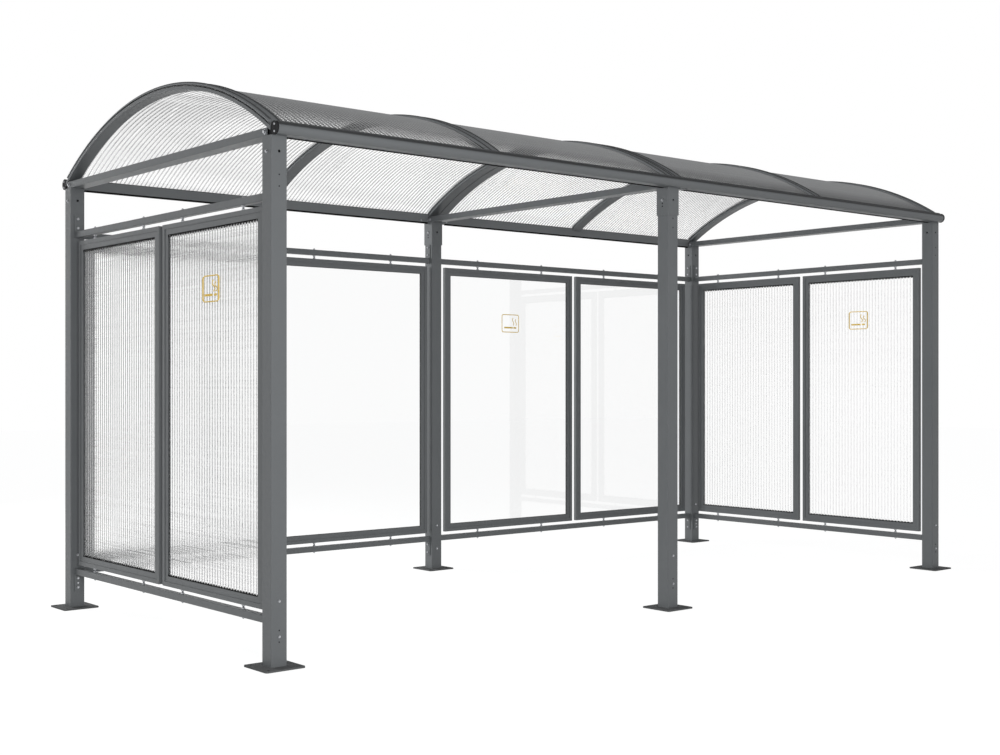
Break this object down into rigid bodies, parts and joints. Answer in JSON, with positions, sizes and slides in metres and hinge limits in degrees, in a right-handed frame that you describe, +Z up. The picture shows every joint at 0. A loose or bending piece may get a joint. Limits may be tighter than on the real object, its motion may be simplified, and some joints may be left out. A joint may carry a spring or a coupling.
{
  "type": "open-front vaulted shelter",
  "caption": "Open-front outdoor shelter: square steel posts, framed clear panels on the back and ends, and a vaulted corrugated clear roof between curved ribs and gutters.",
  "frame": {"origin": "on the ground, in the middle of the plan over the base plates", "axes": "+X along the length to the right as seen from the open front, +Y to the back wall, +Z up"},
  "size_m": [5.285, 2.35, 2.7168],
  "materials": {
    "steel_paint": "satin powder coat",
    "aluminium_paint": "satin powder coat",
    "black_plastic": "matt",
    "clear_sheet": "clear, corrugated",
    "clear_pane": "clear, flat",
    "zinc_steel": "zinc plated"
  },
  "bodies": {
    "root": {"front_left_post": "steel_paint", "front_middle_post": "steel_paint", "front_right_post": "steel_paint", "back_left_post": "steel_paint", "back_middle_post": "steel_paint", "back_right_post": "steel_paint", "base_plates": "steel_paint", "middle_post_sleeves": "steel_paint", "gutter_splices": "steel_paint", "left_tie_beam": "steel_paint", "middle_tie_beam": "steel_paint", "right_tie_beam": "steel_paint", "back_left_rails": "steel_paint", "back_right_rails": "steel_paint", "left_end_rails": "steel_paint", "right_end_rails": "steel_paint", "front_left_gutter": "aluminium_paint", "front_right_gutter": "aluminium_paint", "back_left_gutter": "aluminium_paint", "back_right_gutter": "aluminium_paint", "left_end_rib": "aluminium_paint", "left_bay_rib": "aluminium_paint", "middle_ribs": "aluminium_paint", "right_bay_rib": "aluminium_paint", "right_end_rib": "aluminium_paint", "roof_cover_strips": "aluminium_paint", "back_frame_1": "aluminium_paint", "back_frame_2": "aluminium_paint", "back_frame_3": "aluminium_paint", "back_frame_4": "aluminium_paint", "left_frame_front": "aluminium_paint", "left_frame_back": "aluminium_paint", "right_frame_front": "aluminium_paint", "right_frame_back": "aluminium_paint", "gutter_end_caps": "black_plastic", "roof_sheet_1": "clear_sheet", "roof_sheet_2": "clear_sheet", "roof_sheet_3": "clear_sheet", "roof_sheet_4": "clear_sheet", "left_pane_front": "clear_sheet", "left_pane_back": "clear_sheet", "right_pane_front": "clear_sheet", "right_pane_back": "clear_sheet", "back_pane_1": "clear_pane", "back_pane_2": "clear_pane", "back_pane_3": "clear_pane", "back_pane_4": "clear_pane", "panel_studs": "zinc_steel"}
  },
  "joints": []
}
